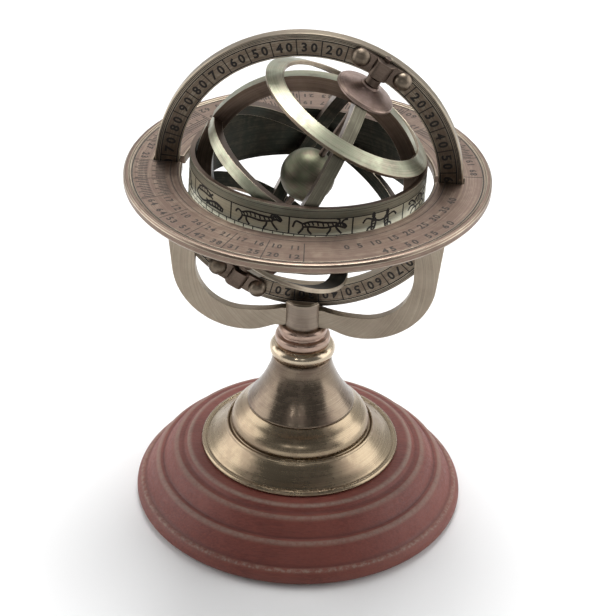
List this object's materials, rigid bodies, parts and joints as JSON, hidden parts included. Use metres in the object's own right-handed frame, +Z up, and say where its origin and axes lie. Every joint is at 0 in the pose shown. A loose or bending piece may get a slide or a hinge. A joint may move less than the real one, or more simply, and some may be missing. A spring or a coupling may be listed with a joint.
{
  "type": "armillary sphere",
  "caption": "Desk armillary sphere: graduated meridian ring and nested celestial hoops in a horizon ring, on a turned column and stepped wooden base.",
  "frame": {"origin": "middle of the base underside", "axes": "+Z up; the meridian ring stands in the XZ plane with its numbered face to -Y; the north pole leans to +X"},
  "size_m": [0.095, 0.095, 0.14],
  "materials": {
    "felt": "matt felt",
    "base_wood": "stained red brown, satin",
    "steel": "plain",
    "polished_brass": "antique, half polished",
    "antique_brass": "antique, brushed, oxide in the engraving",
    "brushed_brass": "antique, brushed",
    "hoop_brass": "antique, dark inside",
    "dark_brass": "dark patina",
    "cap_brass": "red brown patina"
  },
  "bodies": {
    "stand": {"felt_pad": "felt", "wooden_base": "base_wood", "base_washer": "steel", "base_nut": "steel", "tie_rod": "steel", "foot_plate": "polished_brass", "bell": "polished_brass", "neck_bead": "polished_brass", "collar": "antique_brass", "post": "antique_brass", "cradle": "brushed_brass", "horizon_ring": "antique_brass"},
    "meridian": {"meridian_ring": "antique_brass", "north_strap": "dark_brass", "south_strap": "dark_brass", "strap_screws": "antique_brass", "polar_axle": "dark_brass", "pole_spacers": "dark_brass", "globe": "dark_brass"},
    "sphere": {"solstitial_colure": "hoop_brass", "equinoctial_colure": "hoop_brass", "equator_hoop": "hoop_brass", "north_band": "hoop_brass", "south_band": "hoop_brass", "zodiac_band": "antique_brass", "north_cap": "cap_brass", "south_cap": "cap_brass"}
  },
  "joints": [
    {"name": "meridian_slide", "type": "hinge", "parent": "stand", "child": "meridian", "pos_m": [0, 0, 0.1], "axis": [0, 1, 0], "range_deg": [-5, 5]},
    {"name": "sphere_spin", "type": "hinge", "parent": "meridian", "child": "sphere", "pos_m": [0, 0, 0.1], "axis": [0.4848, 0, 0.8746], "continuous": true}
  ]
}
